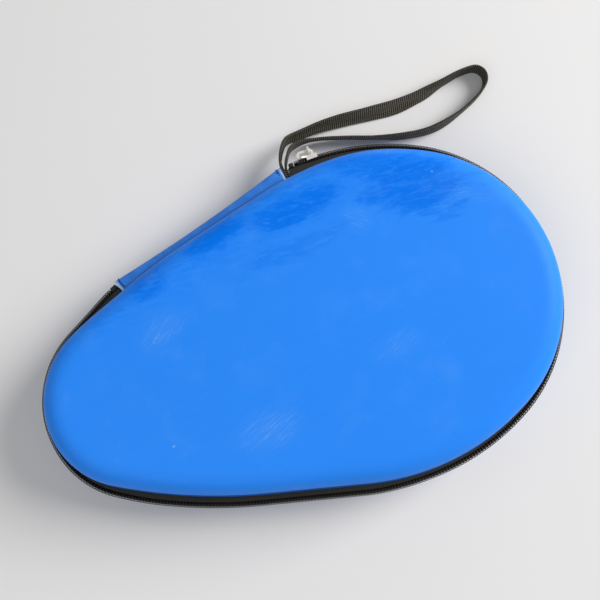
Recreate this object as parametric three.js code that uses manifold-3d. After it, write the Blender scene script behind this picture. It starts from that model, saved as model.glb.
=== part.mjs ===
// A hard clamshell case for a table-tennis paddle: two moulded half-shells, zipped round the edge and joined
// by a flexible strip along one flank, with a webbing wrist strap sewn into the strip's end.
// Millimetres, +Z up. +X runs along the case from the handle end to the blade end; +Y is the hinge side.
import * as THREE from 'three';
import Module from 'manifold-3d';
import { mergeVertices } from 'three/addons/utils/BufferGeometryUtils.js';

const wasm = await Module();
wasm.setup();

// Driving dimensions.
const HALF_DEPTH = 24; // zip plane to the outer face of a half-shell
const CROWN = 1.2; // how far the lid swells above its shoulder
const RIM = 6; // zip plane to the edge of each shell
const SHOULDER = 16; // width of the rounded shoulder, seen from above
const SHOULDER_POWER = 2.6; // squareness of the shoulder's section
const LIP = 1.2; // how far the edge of each shell turns out
const LIP_RISE = 0.9; // height of the turned edge
const SKIN = 0.9;
const FOAM = 3.6;
const LINING = 0.6;
const GAP = 0.3; // clearance between pieces that touch

const BLADE_TIP = 146; // outline: blade end on +X, handle end on -X
const TIP_RADIUS = 85;
const TIP_SWEEP = 63; // degrees each side of the long axis
const SIDE_RADIUS = 134;
const FLANK_NORMAL = 104.5; // direction that the straight flanks face, in degrees
const HEEL_SWEEP_START = 120.3;
const HEEL_RADIUS = 48;
const HINGE_DENT = 2.3; // how far the hinge flank is drawn in from the mirrored outline
const DENT_ENDS = [[120, 175], [285, 330]]; // lengths from the tip where it eases in and out

const ZIP_STAND_SIDE = 5; // how far the closed zip stands outside the rim
const ZIP_STAND_TIP = 3.2;
const ZIP_STAND_WAIST = 6.4;
const ZIP_STAND_HEEL = 3.5;
const HEEL_EASE = 76; // the length over which it draws in towards the handle's end
const ZIP_STAND_FAR_END = 5;
const HINGE_SIDE_EXTRA = 1; // further out along the hinge side, towards the closed end
const CHAIN_GAP = 0.15; // half the gap between the closed half-chains
const COIL_HALF_THICKNESS = 1.15;
const COIL_HALF_WIDTH = 2.75; // of one half-chain
const TAPE = 0.6;
const ZIP_SEAM_Z = 4; // height of the sewn tape edge above the zip plane
const ZIP_FAR_END_FROM_STRIP = 0.4;

const STRIP_FROM_X = 21.4; // blade-side end of the hinge strip
const STRIP_TO_X = -87;
const STRIP_STAND = 4.4; // outer face of the strip's middle, from the mirrored outline's flank
const STRIP_FLARE = 1.5; // how much further out its two ends stand
const STRIP_THICKNESS = 1.2;
const HINGE_NORMAL = 106; // direction that the hinge side faces, in degrees
const SLOT = 3.6; // slot beside the strip that the wrist strap comes out of

const SLIDER_FROM_CORNER = 12.4; // distance of the slider from the zip's closed end
const WEBBING = 10;
const WEBBING_THICKNESS = 1.4;

const FOOTPRINT_MIDDLE = [-0.15, 4.5]; // middle of the closed case's footprint, slider and pull included

const radians = THREE.MathUtils.degToRad;
const direction = (degrees) => new THREE.Vector2(Math.cos(radians(degrees)), Math.sin(radians(degrees)));

// ---------------------------------------------------------------- outline

// The outline of a rim is a chain of tangent arcs, mirrored about the long axis: tip, side, straight flank,
// waist, heel. It is walked anticlockwise from the blade tip, by length.
const tipCentre = new THREE.Vector2(BLADE_TIP - TIP_RADIUS, 0);
const sideCentre = tipCentre.clone().addScaledVector(direction(TIP_SWEEP), TIP_RADIUS - SIDE_RADIUS);
const heelCentre = new THREE.Vector2(HEEL_RADIUS - BLADE_TIP, 0);
const waistTurn = Math.cos(radians(HEEL_SWEEP_START - FLANK_NORMAL));
const flankReach = direction(FLANK_NORMAL).dot(sideCentre.clone().sub(heelCentre)) + SIDE_RADIUS;
const WAIST_RADIUS = (flankReach - HEEL_RADIUS * waistTurn) / (1 - waistTurn);
const waistCentre = heelCentre
  .clone()
  .addScaledVector(direction(HEEL_SWEEP_START), HEEL_RADIUS - WAIST_RADIUS);

const ARC_STEP = 0.14; // share of an arc's radius between stations
const LINE_STEP = 30;

const arc = (centre, radius, from, to) => ({
  length: radius * radians(to - from),
  at: (share) => {
    const normal = direction(from + (to - from) * share);
    return { point: centre.clone().addScaledVector(normal, radius), normal };
  },
  step: ARC_STEP * radius,
});

function line(from, to, normal) {
  return {
    length: from.distanceTo(to),
    at: (share) => ({ point: from.clone().lerp(to, share), normal: normal.clone() }),
    step: LINE_STEP,
  };
}

const flankStart = sideCentre.clone().addScaledVector(direction(FLANK_NORMAL), SIDE_RADIUS);
const flankEnd = waistCentre.clone().addScaledVector(direction(FLANK_NORMAL), WAIST_RADIUS);
const hingeHalf = [
  arc(tipCentre, TIP_RADIUS, 0, TIP_SWEEP),
  arc(sideCentre, SIDE_RADIUS, TIP_SWEEP, FLANK_NORMAL),
  line(flankStart, flankEnd, direction(FLANK_NORMAL)),
  arc(waistCentre, WAIST_RADIUS, FLANK_NORMAL, HEEL_SWEEP_START),
  arc(heelCentre, HEEL_RADIUS, HEEL_SWEEP_START, 180),
];
const halfLength = hingeHalf.reduce((sum, piece) => sum + piece.length, 0);

// How far the outline is drawn in at a length along it.
function dent(length) {
  const { smoothstep } = THREE.MathUtils;
  const along = THREE.MathUtils.euclideanModulo(length, 2 * halfLength);
  const [easeIn, easeOut] = DENT_ENDS.map(([from, to]) => smoothstep(along, from, to));
  return HINGE_DENT * (easeIn - easeOut);
}

// The station at a length along the outline: its point, outward normal, and length from the blade tip.
function station(length) {
  const turned = THREE.MathUtils.euclideanModulo(length, 2 * halfLength);
  const mirrored = turned > halfLength;
  let left = mirrored ? 2 * halfLength - turned : turned;
  let piece;
  for (piece of hingeHalf) {
    if (left <= piece.length) break;
    left -= piece.length;
  }
  const { point, normal } = piece.at(Math.min(left / piece.length, 1));
  if (mirrored) {
    point.y = -point.y;
    normal.y = -normal.y;
  }
  point.addScaledVector(normal, -dent(length));
  return { point, normal, length };
}

// Stations from one length to another, at the arcs' joins and evenly between them.
function stationsBetween(from, to, extra = []) {
  const joins = [];
  for (let turn = -1; turn < 2; turn += 1) {
    let at = 2 * turn * halfLength;
    for (const piece of [...hingeHalf, ...hingeHalf.slice().reverse()]) {
      const parts = Math.max(1, Math.round(piece.length / piece.step));
      for (let i = 0; i < parts; i += 1) joins.push(at + (piece.length * i) / parts);
      at += piece.length;
    }
  }
  const APART = 1.5;
  const ends = [from, to, ...extra];
  const clearOfEnds = (at) => ends.every((end) => Math.abs(end - at) > APART);
  const inside = joins.filter((at) => at > from && at < to && clearOfEnds(at));
  return [...ends, ...inside].sort((a, b) => a - b).map(station);
}

const wholeRim = stationsBetween(0, 2 * halfLength).slice(0, -1);

// The length at which the hinge side of the outline passes a given x.
function lengthAtX(x) {
  let [low, high] = [0, halfLength];
  const HALVINGS = 50;
  for (let i = 0; i < HALVINGS; i += 1) {
    const middle = (low + high) / 2;
    if (station(middle).point.x > x) low = middle;
    else high = middle;
  }
  return low;
}

// ---------------------------------------------------------------- geometry helpers

// One closed body from vertices and triangles, turned so that its faces point out.
function solid(positions, triangles) {
  let volume = 0;
  const [a, b, c] = [new THREE.Vector3(), new THREE.Vector3(), new THREE.Vector3()];
  for (const [i, j, k] of triangles) {
    a.copy(positions[i]);
    b.copy(positions[j]);
    c.copy(positions[k]);
    volume += a.dot(b.cross(c));
  }
  const faces = volume < 0 ? triangles.map(([i, j, k]) => [i, k, j]) : triangles;
  const coordinates = positions.flatMap((position) => position.toArray());
  const geometry = new THREE.BufferGeometry();
  geometry.setAttribute('position', new THREE.Float32BufferAttribute(coordinates, 3));
  geometry.setIndex(faces.flat());
  geometry.computeVertexNormals();
  return geometry;
}

const place = ({ point, normal }, out, up) =>
  new THREE.Vector3(point.x + out * normal.x, point.y + out * normal.y, HALF_DEPTH + up);

// A closed section of [out, up] points, carried along stations and capped at both ends.
function sweep(stations, sectionAt) {
  const rings = stations.map((at, i) => sectionAt(at, i).map(([out, up]) => place(at, out, up)));
  return skin(rings, sectionAt(stations[0], 0), sectionAt(stations.at(-1), stations.length - 1), false);
}

// A closed section carried all the way round the rim.
function ring(stations, section) {
  const rings = stations.map((at) => section.map(([out, up]) => place(at, out, up)));
  return skin(rings, null, null, true);
}

// The faces between rings of points, with flat ends unless the rings close on themselves.
function skin(rings, startSection, endSection, closed) {
  const count = rings[0].length;
  const triangles = [];
  for (let r = 0; r < rings.length - (closed ? 0 : 1); r += 1) {
    const next = (r + 1) % rings.length;
    for (let i = 0; i < count; i += 1) {
      const j = (i + 1) % count;
      const [a, b, c, d] = [r * count + i, r * count + j, next * count + j, next * count + i];
      triangles.push([a, b, c], [a, c, d]);
    }
  }
  if (!closed) {
    const last = (rings.length - 1) * count;
    triangles.push(...fill(startSection).map(([i, j, k]) => [i, k, j]));
    triangles.push(...fill(endSection).map((corners) => corners.map((i) => i + last)));
  }
  return solid(rings.flat(), triangles);
}

// Triangles that fill a section's outline, wound the way that the outline runs.
function fill(section) {
  const outline = section.map(([x, y]) => new THREE.Vector2(x, y));
  const triangles = THREE.ShapeUtils.triangulateShape(outline, []);
  const area = ([i, j, k]) => THREE.ShapeUtils.area([outline[i], outline[j], outline[k]]);
  const same = area(triangles[0]) * THREE.ShapeUtils.area(outline) > 0;
  return same ? triangles : triangles.map(([i, j, k]) => [i, k, j]);
}

// ---------------------------------------------------------------- half-shells

// The shoulder's section as [out, up] points at a depth below the outer face.
function shoulder(depth) {
  const steps = [0, 22, 45, 68, 90];
  const power = 2 / SHOULDER_POWER;
  const rise = HALF_DEPTH - RIM;
  return steps.map((degrees) => {
    const [c, s] = [Math.cos(radians(degrees)), Math.sin(radians(degrees))];
    const out = -SHOULDER * (1 - c ** power);
    const up = RIM + rise * s ** power;
    const across = new THREE.Vector2(rise * c ** (2 - power), SHOULDER * s ** (2 - power)).normalize();
    return [out - depth * across.x, up - depth * across.y];
  });
}

// A dish between two depths of the shell's wall: crown lifts its middle, and side is 1 for the lid and -1
// for the base. The outermost one ends in a lip.
function dish(outerDepth, innerDepth, crown, side) {
  const CROWN_INSET = 44;
  const CROWN_SHARE = 0.8; // of the crown's height, reached at that inset
  const swell = (depth) => (crown ? [[-CROWN_INSET, HALF_DEPTH - depth + CROWN_SHARE * crown]] : []);
  const face = (depth) => [...shoulder(depth), ...swell(depth)];
  const LIP_ROOT = 2.4; // where the lip leaves the wall, in heights of the lip
  const lip = [[0, RIM + LIP_ROOT * LIP_RISE], [LIP, RIM + LIP_RISE], [LIP, RIM]];
  const outer = face(outerDepth).reverse();
  const profile = [...(outerDepth ? outer : [...outer.slice(0, -1), ...lip]), ...face(innerDepth)];
  const positions = [];
  for (const [out, up] of profile) {
    for (const at of wholeRim) positions.push(place(at, out, side * up));
  }
  const middle = wholeRim.length;
  const triangles = [];
  for (let r = 0; r < profile.length - 1; r += 1) {
    for (let i = 0; i < middle; i += 1) {
      const j = (i + 1) % middle;
      const [a, b, c, d] = [r * middle + i, r * middle + j, (r + 1) * middle + j, (r + 1) * middle + i];
      triangles.push([a, b, c], [a, c, d]);
    }
  }
  const hub = (depth) => new THREE.Vector3(0, 0, HALF_DEPTH + side * (HALF_DEPTH - depth + crown));
  const outerHub = positions.push(hub(outerDepth)) - 1;
  const innerHub = positions.push(hub(innerDepth)) - 1;
  const last = (profile.length - 1) * middle;
  for (let i = 0; i < middle; i += 1) {
    const j = (i + 1) % middle;
    triangles.push([outerHub, j, i], [innerHub, last + i, last + j]);
  }
  return solid(positions, triangles);
}

const FOAM_DEPTH = SKIN + GAP;
const LINING_DEPTH = FOAM_DEPTH + FOAM + GAP;
const WALL = LINING_DEPTH + LINING;

// A folded edging inside each rim: a flange under the wall's layers and a leg up the lining.
function rimBinding(side) {
  const LEG_HEIGHT = 10;
  const LEG_LEAN = 0.2;
  const LEG_THICKNESS = 0.8;
  const FLANGE_THICKNESS = 1;
  const INSET = 1.2; // from the outline to the flange's edge
  const legFace = -(WALL + 0.5);
  const legBack = legFace - LEG_THICKNESS;
  const under = RIM - GAP;
  const flange = under - FLANGE_THICKNESS;
  const section = [
    [legBack, flange],
    [-INSET, flange],
    [-INSET, under],
    [legFace, under],
    [legFace - LEG_LEAN, LEG_HEIGHT],
    [legBack - LEG_LEAN, LEG_HEIGHT],
  ];
  return ring(wholeRim, section.map(([out, up]) => [out, side * up]));
}

// ---------------------------------------------------------------- zip

const stripFrom = lengthAtX(STRIP_FROM_X);
const stripTo = lengthAtX(STRIP_TO_X);
// The zip runs from its closed end, by falling length, round to the strip's other end.
const zipClosedEnd = stripFrom - SLOT;
const zipFarEnd = stripTo - 2 * halfLength + ZIP_FAR_END_FROM_STRIP;
const sliderLength = zipClosedEnd - SLIDER_FROM_CORNER;

// How far the zip stands outside the rim: close at the two ends of the case, further out along its sides,
// and furthest where it bridges the waist and where the hinge flank is drawn in.
function zipStand({ normal, length }) {
  const { smoothstep } = THREE.MathUtils;
  if (length < -halfLength) {
    const FAR_END_EASE = 30;
    const nearEnd = 1 - smoothstep(length, zipFarEnd, zipFarEnd + FAR_END_EASE);
    return ZIP_STAND_HEEL + (ZIP_STAND_FAR_END - ZIP_STAND_HEEL) * nearEnd + dent(length);
  }
  const facing = THREE.MathUtils.radToDeg(Math.acos(THREE.MathUtils.clamp(normal.x, -1, 1)));
  const side = (ZIP_STAND_SIDE - ZIP_STAND_TIP) * smoothstep(facing, 15, 85);
  const waist = (ZIP_STAND_WAIST - ZIP_STAND_SIDE) * smoothstep(facing, 88, 113);
  const heel = (ZIP_STAND_WAIST - ZIP_STAND_HEEL) * smoothstep(-length, halfLength - HEEL_EASE, halfLength);
  const hingeSide = HINGE_SIDE_EXTRA * smoothstep(length, 0, 50) + dent(length);
  return ZIP_STAND_TIP + side + waist - heel + hingeSide;
}

// Half the gap between the half-chains: closed behind the slider, parting in front of it.
function zipParting({ length }) {
  const OPEN = 1.45;
  return CHAIN_GAP + OPEN * THREE.MathUtils.smoothstep(length, sliderLength - 2, sliderLength + 6);
}

const zipStations = (from, to) => {
  const extra = [-2, 0, 2, 4, 6].map((step) => sliderLength + step);
  return stationsBetween(from, to, extra.filter((at) => at > from + 1 && at < to - 1));
};

const SEAM_EDGE = -1; // where a sewn tape leaves the seam, from the outline

function zipTape(side) {
  const SEWN_EDGE = -4.6;
  const section = (at) => {
    const stand = zipStand(at) - COIL_HALF_THICKNESS - GAP - TAPE / 2;
    const lift = zipParting(at) - CHAIN_GAP;
    const bend = SEAM_EDGE + 0.8 * (stand - SEAM_EDGE);
    const middle = [
      [SEWN_EDGE, ZIP_SEAM_Z],
      [SEAM_EDGE, ZIP_SEAM_Z],
      [bend, ZIP_SEAM_Z - 0.4 + 0.2 * lift],
      [stand, 2.3 + 0.7 * lift],
      [stand, 0.4 + lift],
    ];
    return thicken(middle, TAPE).map(([out, up]) => [out, side * up]);
  };
  return sweep(zipStations(zipFarEnd, zipClosedEnd), section);
}

// A closed section of even thickness about a line of [out, up] points.
function thicken(middle, thickness) {
  const half = thickness / 2;
  const offset = (way) =>
    middle.map(([x, y], i) => {
      const before = new THREE.Vector2(...middle[Math.max(i - 1, 0)]);
      const after = new THREE.Vector2(...middle[Math.min(i + 1, middle.length - 1)]);
      const run = after.sub(before).normalize();
      return [x - way * half * run.y, y + way * half * run.x];
    });
  return [...offset(1), ...offset(-1).reverse()];
}

function zipCoil(side) {
  const BOTTOM_STOP_ROOM = 5;
  const END_STOP_ROOM = 4.5;
  const BEVEL = 0.5;
  const section = (at) => {
    const stand = zipStand(at);
    const low = zipParting(at);
    const high = low + COIL_HALF_WIDTH;
    const thick = COIL_HALF_THICKNESS;
    return [
      [stand - thick, low],
      [stand + thick - BEVEL, low],
      [stand + thick, low + BEVEL],
      [stand + thick, high - BEVEL],
      [stand + thick - BEVEL, high],
      [stand - thick, high],
    ].map(([out, up]) => [out, side * up]);
  };
  return sweep(zipStations(zipFarEnd + BOTTOM_STOP_ROOM, zipClosedEnd - END_STOP_ROOM), section);
}

// A moulded block clamped on the tape edge at the closed end of a half-chain.
function endStop(side) {
  const FROM_CLOSED_END = [3.9, 1.3];
  const [INNER, OUTER, HEIGHT] = [1.1, 1.3, 2.9];
  const section = (at) => {
    const stand = zipStand(at);
    const low = zipParting(at);
    return [
      [stand - INNER, low],
      [stand + OUTER, low],
      [stand + OUTER, low + HEIGHT],
      [stand - INNER, low + HEIGHT],
    ].map(([out, up]) => [out, side * up]);
  };
  const [from, to] = FROM_CLOSED_END.map((back) => zipClosedEnd - back);
  return sweep(stationsBetween(from, to), section);
}

// The block that holds both half-chains together at the far end.
function bottomStop() {
  const FROM_FAR_END = [0.6, 4.3];
  const [INNER, OUTER, HALF_HEIGHT] = [1.1, 1.6, 3];
  const [BEVEL_OUT, BEVEL_UP] = [0.5, 0.6];
  const section = (at) => {
    const stand = zipStand(at);
    return [
      [stand - INNER, -HALF_HEIGHT],
      [stand + OUTER - BEVEL_OUT, -HALF_HEIGHT],
      [stand + OUTER, BEVEL_UP - HALF_HEIGHT],
      [stand + OUTER, HALF_HEIGHT - BEVEL_UP],
      [stand + OUTER - BEVEL_OUT, HALF_HEIGHT],
      [stand - INNER, HALF_HEIGHT],
    ];
  };
  const [from, to] = FROM_FAR_END.map((ahead) => zipFarEnd + ahead);
  return sweep(stationsBetween(from, to), section);
}

// ---------------------------------------------------------------- hinge strip

const hingeNormal = direction(HINGE_NORMAL);
// The mirrored outline's outermost line on the hinge side, along the hinge normal.
const flankLine = waistCentre.dot(hingeNormal) + WAIST_RADIUS;

// A strip standing clear of the flank, sewn under both rims.
function hingeStrip() {
  const SEWN_EDGE = -4.4;
  const FOLD_HEIGHT = 2.4;
  const section = (at) => {
    const across = (2 * (at.length - stripFrom)) / (stripTo - stripFrom) - 1;
    const stand = STRIP_STAND + STRIP_FLARE * across ** 2;
    const away = flankLine + stand - STRIP_THICKNESS / 2 - at.point.dot(hingeNormal);
    const face = away / at.normal.dot(hingeNormal);
    const middle = [
      [SEWN_EDGE, ZIP_SEAM_Z],
      [SEAM_EDGE, ZIP_SEAM_Z],
      [face - 1.6, ZIP_SEAM_Z - 0.3],
      [face - 0.4, FOLD_HEIGHT],
      [face, 0],
      [face - 0.4, -FOLD_HEIGHT],
      [face - 1.6, 0.3 - ZIP_SEAM_Z],
      [SEAM_EDGE, -ZIP_SEAM_Z],
      [SEWN_EDGE, -ZIP_SEAM_Z],
    ];
    return thicken(middle, STRIP_THICKNESS);
  };
  return sweep(stationsBetween(stripFrom, stripTo), section);
}

// ---------------------------------------------------------------- slider and pull

// Frame of the closed slider: x away from the zip's closed end, y outward and z up, with its origin at the
// chain's centre.
const sliderStation = station(sliderLength);
const sliderCentre = place(sliderStation, zipStand(sliderStation), 0);
const sliderTurn = Math.atan2(sliderStation.normal.y, sliderStation.normal.x) - Math.PI / 2;

const PLATE_FACE = 2.3; // outer face of the slider's outer plate
const CROWN_BAR = 6.4; // distance of the crown's bar from the chain's centre
const CROWN_WIRE = 1.5;
const CROWN_WIDTH = 1.8;
const CROWN_FRONT = -4.3;
const CROWN_REAR = 4.6;

function toManifold(geometry) {
  const bare = geometry.clone();
  bare.deleteAttribute('normal');
  bare.deleteAttribute('uv');
  const merged = mergeVertices(bare, 1e-4);
  return new wasm.Manifold(
    new wasm.Mesh({
      numProp: 3,
      vertProperties: new Float32Array(merged.attributes.position.array),
      triVerts: new Uint32Array(merged.index.array),
    }),
  );
}

function fromManifold(body) {
  const { vertProperties, triVerts } = body.getMesh();
  const geometry = new THREE.BufferGeometry();
  geometry.setAttribute('position', new THREE.Float32BufferAttribute(vertProperties, 3));
  geometry.setIndex(Array.from(triVerts));
  geometry.computeVertexNormals();
  return geometry;
}

// A plate of [x, z] outline between two distances out, in the slider's frame.
function plate(outline, from, to) {
  const shape = new THREE.Shape(outline.map(([x, z]) => new THREE.Vector2(x, z)));
  const geometry = new THREE.ExtrudeGeometry(shape, { depth: to - from, bevelEnabled: false });
  geometry.rotateX(Math.PI / 2);
  geometry.translate(0, to, 0);
  return toManifold(geometry);
}

// A symmetrical outline, wide at the front and narrow at the rear, with clipped corners.
function sliderOutline(front, rear, frontHalf, rearHalf) {
  const half = [
    [rear, rearHalf - 1],
    [rear - 1, rearHalf],
    [0, rearHalf],
    [front + 2.2, frontHalf],
    [front, frontHalf - 2],
  ];
  return [...half, ...half.slice().reverse().map(([x, z]) => [x, -z])];
}

// Two plates joined by the divider, with flanges that hold the closed chain behind it.
function sliderBody() {
  const OUTER_PLATE = 0.85;
  const INNER_FACE = -2.8; // clear of the tapes
  const INNER_PLATE = 1;
  const FLANGE_FROM = 3.3;
  const FLANGE_TO = 3.9;
  const FLANGE_TIP = -0.4;
  const chainFace = PLATE_FACE - OUTER_PLATE;
  const overlap = 0.5; // each joined piece reaches this far into the plate that carries it
  const outer = plate(sliderOutline(-5.2, 6.4, 4.9, 3.95), chainFace, PLATE_FACE);
  const inner = plate(sliderOutline(-4.8, 6, 2.5, 2), INNER_FACE - INNER_PLATE, INNER_FACE);
  const wedge = [[-4.4, -0.7], [-2.6, -0.5], [-2.6, 0.5], [-4.4, 0.7]];
  let body = outer.add(inner).add(plate(wedge, INNER_FACE - overlap, chainFace + overlap));
  for (const side of [-1, 1]) {
    const corners = [[-0.3, FLANGE_FROM], [6.2, FLANGE_FROM], [6.2, FLANGE_TO], [-0.3, FLANGE_TO]];
    const flange = corners.map(([x, z]) => [x, side * z]);
    body = body.add(plate(side > 0 ? flange : flange.reverse(), FLANGE_TIP, chainFace + overlap));
  }
  return fromManifold(body);
}

// The bail that the pull hangs on: two feet and a bar along the chain, as one bent strip.
function sliderCrown() {
  const [TOE_IN, TOE_RISE] = [0.6, 1.2];
  const CORNER = 1.1;
  const foot = PLATE_FACE + 2 * GAP;
  const middle = [
    [CROWN_FRONT + TOE_IN, foot],
    [CROWN_FRONT, foot + TOE_RISE],
    [CROWN_FRONT, CROWN_BAR - CORNER],
    [CROWN_FRONT + CORNER, CROWN_BAR],
    [CROWN_REAR - CORNER, CROWN_BAR],
    [CROWN_REAR, CROWN_BAR - CORNER],
    [CROWN_REAR, foot + TOE_RISE],
    [CROWN_REAR - TOE_IN, foot],
  ];
  const shape = new THREE.Shape(thicken(middle, CROWN_WIRE).map(([x, y]) => new THREE.Vector2(x, y)));
  const geometry = new THREE.ExtrudeGeometry(shape, { depth: CROWN_WIDTH, bevelEnabled: false });
  geometry.translate(0, 0, -CROWN_WIDTH / 2);
  return geometry;
}

const PULL_EYE = 1.5; // radius of the eye round the crown's bar
const PULL_HEAD = 2.4;
const PULL_REACH = 9.5;
const PULL_THICKNESS = 1.2;
const PULL_AT = CROWN_REAR - 1.7; // where the eye hangs along the bar

// A short tab hanging from the crown, with an eye at the top and a smaller hole at the bottom.
function pullTab() {
  const NECK = 1.9;
  const NECK_AT = -4.2;
  const END = 2.6;
  const END_HOLE = 1;
  const SHOULDERS = 30; // degrees each side of straight down where the head meets the tab
  const shape = new THREE.Shape();
  shape.absarc(0, 0, PULL_HEAD, radians(270 + SHOULDERS), radians(270 - SHOULDERS), false);
  shape.lineTo(-NECK, NECK_AT);
  shape.lineTo(-END, -PULL_REACH + END);
  shape.absarc(0, -PULL_REACH + END, END, Math.PI, 2 * Math.PI, false);
  shape.lineTo(NECK, NECK_AT);
  const hole = (y, radius) => new THREE.Path().absarc(0, y, radius, 0, 2 * Math.PI, true);
  shape.holes.push(hole(0, PULL_EYE), hole(-PULL_REACH + END, END_HOLE));
  const geometry = new THREE.ExtrudeGeometry(shape, {
    depth: PULL_THICKNESS,
    bevelEnabled: false,
    curveSegments: 8,
  });
  geometry.translate(0, 0, -PULL_THICKNESS / 2);
  geometry.rotateX(Math.PI / 2);
  geometry.rotateZ(Math.PI / 2);
  geometry.translate(PULL_AT, CROWN_BAR, 0);
  return geometry;
}

// ---------------------------------------------------------------- wrist strap

const slotMiddle = stripFrom - SLOT / 2;

// The folded ends of the webbing, sewn between the two rims.
function strapAnchor() {
  const [DEPTH, HALF_HEIGHT, HALF_WIDTH] = [5.6, 4.2, 1.45];
  const corners = [[-DEPTH, -HALF_HEIGHT], [0, -HALF_HEIGHT], [0, HALF_HEIGHT], [-DEPTH, HALF_HEIGHT]];
  return sweep([station(slotMiddle - HALF_WIDTH), station(slotMiddle + HALF_WIDTH)], () => corners);
}

// The loop's route from one leg of the slot to the other, chosen by hand: it drops to the table and lies
// there on edge.
const slotLeg = (step, out, up) => {
  const at = station(slotMiddle + step);
  return place(at, out, up);
};
const strapRoute = [
  slotLeg(0.85, 0.5, 0),
  slotLeg(0.55, 8.5, -0.5),
  slotLeg(-0.8, 15.5, -3.5),
  [25.6, 110.6, 17],
  [30.8, 117.4, 12],
  [40.1, 119.7, 8.6],
  [53.4, 121.5, 6.3],
  [68.2, 121.5, 5.4],
  [87.7, 119.9, 5.1],
  [107.6, 118.8, 5.1],
  [125.2, 120.6, 5.1],
  [140.2, 123.8, 5.1],
  [152.6, 125.8, 5.1],
  [161.2, 124.9, 5.1],
  [164.8, 120.3, 5.1],
  [163.8, 114.5, 5.1],
  [158.1, 109, 5.1],
  [146.1, 103, 5.1],
  [133.5, 98.7, 5.1],
  [119.1, 96.6, 5.1],
  [103, 98.5, 5.1],
  [84.9, 103.8, 5.1],
  [67.2, 109.9, 5.4],
  [50.7, 114.1, 7],
  [39.5, 114.4, 10],
  [31.4, 110.9, 14.5],
  [26.4, 103.6, 19.5],
  slotLeg(-1.1, 8.5, -0.8),
  slotLeg(-0.85, 0.5, 0),
].map((point) => (Array.isArray(point) ? new THREE.Vector3(...point) : point));

function wristStrap() {
  const STEPS = 60;
  const EDGE_BEVEL = 0.5;
  const half = WEBBING / 2;
  const thin = WEBBING_THICKNESS / 2;
  const section = [
    [-thin, EDGE_BEVEL - half],
    [0.5 * thin, -half],
    [thin, EDGE_BEVEL - half],
    [thin, half - EDGE_BEVEL],
    [0, half],
    [-thin, half - EDGE_BEVEL],
  ];
  const curve = new THREE.CatmullRomCurve3(strapRoute, false, 'centripetal');
  const up = new THREE.Vector3(0, 0, 1);
  const rings = [];
  for (let i = 0; i <= STEPS; i += 1) {
    const centre = curve.getPointAt(i / STEPS);
    const run = curve.getTangentAt(i / STEPS);
    const side = new THREE.Vector3().crossVectors(up, run).normalize();
    rings.push(section.map(([x, z]) => centre.clone().addScaledVector(side, x).addScaledVector(up, z)));
  }
  return skin(rings, section, section, false);
}

// ---------------------------------------------------------------- inside

const BAND_X = -56;
const BAND_WIDTH = 25;
const BAND_REACH = 42; // half the span between the sewn ends
const BAND_RISE = 9;
const BAND_THICKNESS = 1.2;
const BAND_SEWN = 9; // length sewn down at each end
const PATCH_THICKNESS = 0.8;

// An elastic band across the base that holds the paddle's handle, sewn down at both ends.
function retainingBand() {
  const STEPS = 12;
  const floor = WALL + PATCH_THICKNESS + 2 * GAP;
  const middle = [];
  for (let i = 0; i <= STEPS; i += 1) {
    const y = BAND_REACH * (2 * (i / STEPS) - 1);
    const swell = Math.max(0, 1 - (y / (BAND_REACH - BAND_SEWN)) ** 2);
    middle.push([y, floor + BAND_THICKNESS / 2 + BAND_RISE * swell * swell * (2 - swell)]);
  }
  const shape = new THREE.Shape(thicken(middle, BAND_THICKNESS).map(([y, z]) => new THREE.Vector2(y, z)));
  const geometry = new THREE.ExtrudeGeometry(shape, { depth: BAND_WIDTH, bevelEnabled: false });
  geometry.rotateX(Math.PI / 2);
  geometry.rotateZ(Math.PI / 2);
  geometry.translate(BAND_X - BAND_WIDTH / 2, 0, 0);
  return geometry;
}

function bandPatch(side) {
  const [MARGIN, LENGTH, FROM_END] = [2, 10, 4.6];
  const geometry = new THREE.BoxGeometry(BAND_WIDTH + 2 * MARGIN, LENGTH, PATCH_THICKNESS);
  geometry.translate(BAND_X, side * (BAND_REACH - FROM_END), WALL + GAP + PATCH_THICKNESS / 2);
  return geometry;
}

// ---------------------------------------------------------------- assembly

const material = (color, roughness, metalness = 0) =>
  new THREE.MeshStandardMaterial({ color, roughness, metalness });
const blueSkin = material(0x2f8bf2, 0.42);
const blackFoam = material(0x1d1d20, 0.9);
const greyLining = material(0x2a2b30, 0.95);
const blackTape = material(0x2b2a27, 0.9);
const blackCoil = material(0x191919, 0.45);
const blackWebbing = material(0x2c2b2a, 0.85);
const nickel = material(0xd9d4c8, 0.3, 1);

const model = new THREE.Group();

function add(name, geometry, finish, parent = model) {
  const mesh = new THREE.Mesh(geometry, finish);
  mesh.name = name;
  parent.add(mesh);
  return mesh;
}

for (const [half, side, crown] of [['lower', -1, 0], ['upper', 1, CROWN]]) {
  add(`${half}_cover`, dish(0, SKIN, crown, side), blueSkin);
  add(`${half}_foam_shell`, dish(FOAM_DEPTH, FOAM_DEPTH + FOAM, crown, side), blackFoam);
  add(`${half}_lining`, dish(LINING_DEPTH, WALL, crown, side), greyLining);
  add(`${half}_rim_binding`, rimBinding(side), blackTape);
  add(`${half}_zip_tape`, zipTape(side), blackTape);
  add(`${half}_zip_coil`, zipCoil(side), blackCoil);
  add(`${half}_end_stop`, endStop(side), blackCoil);
}
add('zip_bottom_stop', bottomStop(), blackCoil);
add('hinge_strip', hingeStrip(), blueSkin);
add('strap_anchor', strapAnchor(), blackWebbing);
add('wrist_strap', wristStrap(), blackWebbing);
add('retaining_band', retainingBand(), blackWebbing);
add('band_patch_hinge_side', bandPatch(1), greyLining);
add('band_patch_zip_side', bandPatch(-1), greyLining);

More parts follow.
